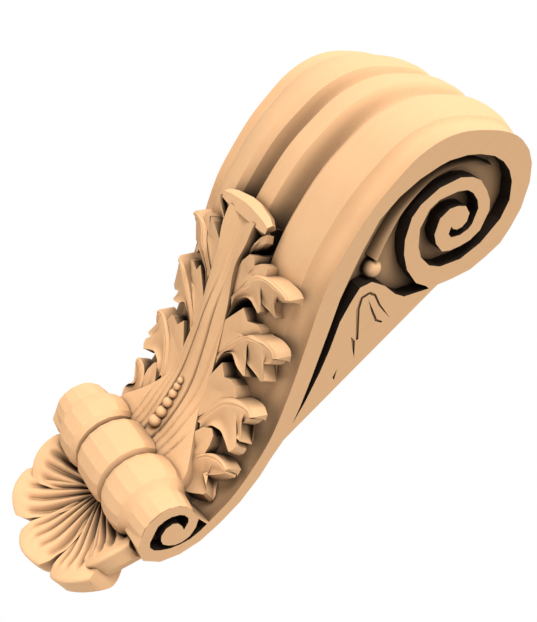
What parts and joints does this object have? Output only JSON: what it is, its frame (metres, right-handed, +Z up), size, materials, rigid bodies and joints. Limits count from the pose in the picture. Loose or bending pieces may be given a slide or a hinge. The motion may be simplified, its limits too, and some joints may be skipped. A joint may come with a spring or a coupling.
{
  "type": "scroll corbel",
  "caption": "Carved S-scroll corbel with a large side volute, moulded crown, acanthus leaf down the front, turned roll at the foot and a palmette below.",
  "frame": {"origin": "middle of the flat strip of the back, which lies on the wall", "axes": "+X across the width to the viewer's right when seen from the front, -Y out of the wall towards the carved front, +Z up"},
  "size_m": [0.1546, 0.1489, 0.4801],
  "materials": {
    "carved_wood": "bare fine-grained carved wood, smooth, matt"
  },
  "bodies": {
    "root": {"scroll_corbel": "carved_wood"}
  },
  "joints": []
}
